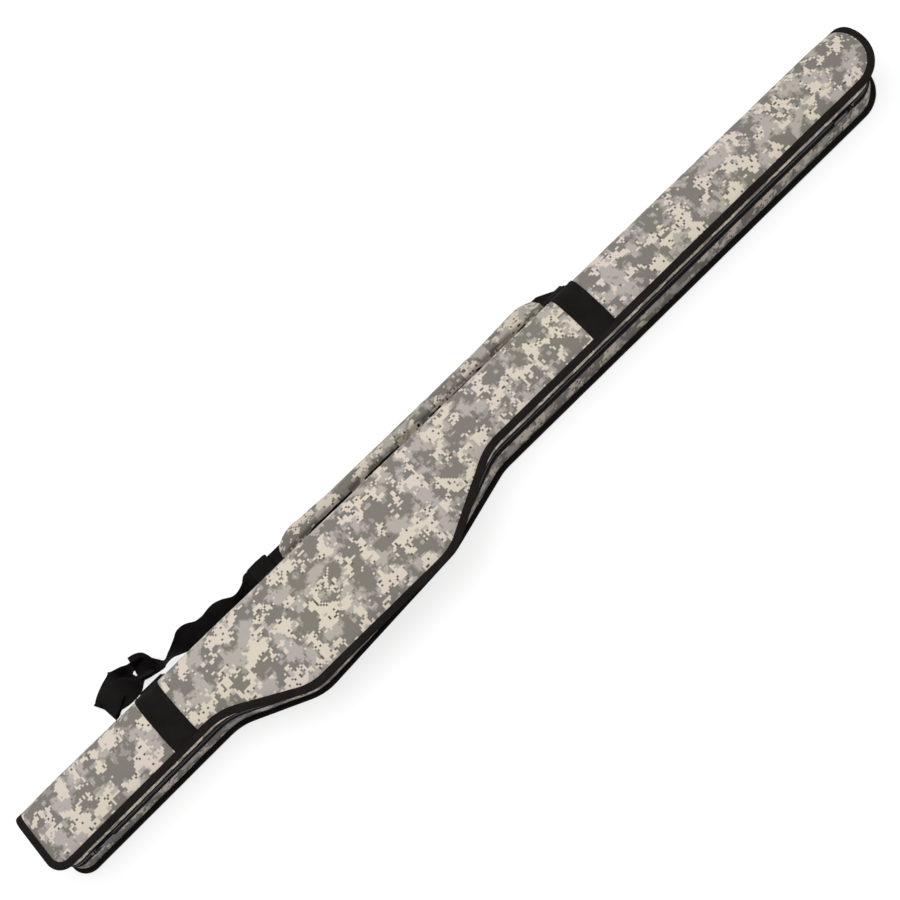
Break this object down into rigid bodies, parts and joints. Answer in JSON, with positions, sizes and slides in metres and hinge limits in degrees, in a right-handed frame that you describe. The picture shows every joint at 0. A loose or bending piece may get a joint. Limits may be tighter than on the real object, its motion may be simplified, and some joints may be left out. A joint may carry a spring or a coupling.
{
  "type": "rod case",
  "caption": "Semi-rigid padded fishing rod case with a reel belly, three-sided zip, webbing bands and a padded shoulder strap.",
  "frame": {"origin": "on the back face, half way along the length, level with the middle of the barrel", "axes": "+X from the butt end to the tip end, +Y towards the spine, +Z from the back panel to the front panel"},
  "size_m": [1.5, 0.2412, 0.0841],
  "materials": {
    "camo_fabric": "woven polyester, printed with a square-edged blotch pattern",
    "gusset_fabric": "woven polyester, same print",
    "binding_tape": "ribbed black tape",
    "zip_tape": "woven black tape",
    "zip_coil": "moulded nylon coil",
    "lining": "brushed grey lining on foam",
    "board": "stiffening board",
    "webbing": "black ribbed webbing",
    "ring_metal": "black coated steel",
    "slider_metal": "black painted zinc",
    "adjuster_plastic": "moulded black plastic",
    "hook_loop": "hook-and-loop tape",
    "pad_fabric": "woven polyester print over foam"
  },
  "bodies": {
    "case_back": {"back_cover": "camo_fabric", "back_spine": "camo_fabric", "back_board": "board", "back_lining": "lining", "back_gusset": "gusset_fabric", "back_binding": "binding_tape", "back_zip_tape": "zip_tape", "back_zip_coil": "zip_coil", "tail_ring_tab": "webbing", "tip_ring_tab": "webbing", "tail_ring": "ring_metal", "tip_ring": "ring_metal", "rod_tie_tail": "hook_loop", "rod_tie_middle": "hook_loop", "rod_tie_tip": "hook_loop", "shoulder_pad": "pad_fabric", "strap_webbing": "webbing", "strap_tip_turn": "webbing", "strap_tail_turn": "webbing", "strap_tail_run": "webbing", "strap_slack_loop": "webbing", "strap_return_ply": "webbing"},
    "lid": {"front_cover": "camo_fabric", "front_board": "board", "front_lining": "lining", "front_gusset": "gusset_fabric", "front_binding": "binding_tape", "front_zip_tape": "zip_tape", "front_zip_coil": "zip_coil", "front_spine": "camo_fabric", "tail_band": "webbing", "tip_band": "webbing"},
    "tip_slider": {"tip_zip_slider": "slider_metal"},
    "tip_pull": {"tip_zip_pull": "slider_metal"},
    "tail_slider": {"tail_zip_slider": "slider_metal"},
    "tail_pull": {"tail_zip_pull": "slider_metal"},
    "adjuster": {"strap_adjuster": "adjuster_plastic", "adjuster_turn": "webbing"}
  },
  "joints": [
    {"name": "lid_open", "type": "hinge", "parent": "case_back", "child": "lid", "pos_m": [0, 0.05, 0.04], "axis": [-1, 0, 0], "range_deg": [0, 90]},
    {"name": "tip_slider_run", "type": "slide", "parent": "case_back", "child": "tip_slider", "axis": [1, 0.0041, 0], "range_m": [-0.6, 0]},
    {"name": "tip_pull_flip", "type": "hinge", "parent": "tip_slider", "child": "tip_pull", "pos_m": [0.67598, -0.038, 0.04], "axis": [0, 0, 1], "range_deg": [0, 178]},
    {"name": "tail_slider_run", "type": "slide", "parent": "case_back", "child": "tail_slider", "axis": [0.9999, 0.0141, 0], "range_m": [0, 0.18]},
    {"name": "tail_pull_flip", "type": "hinge", "parent": "tail_slider", "child": "tail_pull", "pos_m": [-0.70206, -0.04902, 0.04], "axis": [0, 0, -1], "range_deg": [0, 178]},
    {"name": "adjuster_slide", "type": "slide", "parent": "case_back", "child": "adjuster", "axis": [1, 0, 0], "range_m": [-0.009, 0.012]}
  ]
}
